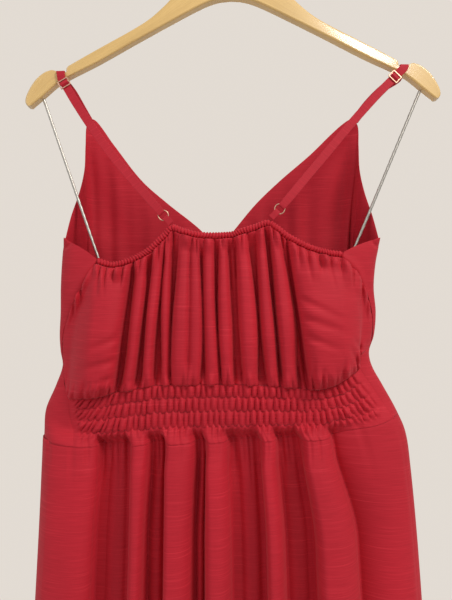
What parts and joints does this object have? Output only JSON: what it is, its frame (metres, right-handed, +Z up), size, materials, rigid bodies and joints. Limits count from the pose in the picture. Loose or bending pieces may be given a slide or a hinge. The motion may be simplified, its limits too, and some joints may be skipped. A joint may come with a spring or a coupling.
{
  "type": "maxi dress on a hanger",
  "caption": "Sleeveless coral-red maxi dress with a gathered back, shirred waist and thin adjustable straps, hanging on a pale wooden hanger.",
  "frame": {"origin": "inner top of the hanger's hook, where a rail carries it", "axes": "+Z up, +Y towards the dress's front, so its back faces -Y; +X towards the wearer's right"},
  "size_m": [0.5244, 0.1837, 1.5838],
  "materials": {
    "coral_cloth": "matt slub crepe with a slight sheen",
    "strap_cloth": "matt folded crepe",
    "rose_metal": "polished rose gold",
    "pale_wood": "clear gloss varnish",
    "hanger_steel": "bright zinc plate"
  },
  "bodies": {
    "root": {"back_skirt": "coral_cloth", "front_skirt": "coral_cloth", "back_waist": "coral_cloth", "front_waist": "coral_cloth", "back_bodice": "coral_cloth", "back_casing": "coral_cloth", "front_left": "coral_cloth", "front_right": "coral_cloth", "strap_left": "strap_cloth", "strap_right": "strap_cloth", "ring_tab_left": "strap_cloth", "ring_tab_right": "strap_cloth", "ring_left": "rose_metal", "ring_right": "rose_metal", "slider_left": "rose_metal", "slider_right": "rose_metal", "hanger_wood": "pale_wood", "hanger_hook": "hanger_steel", "trouser_bar": "hanger_steel"}
  },
  "joints": []
}
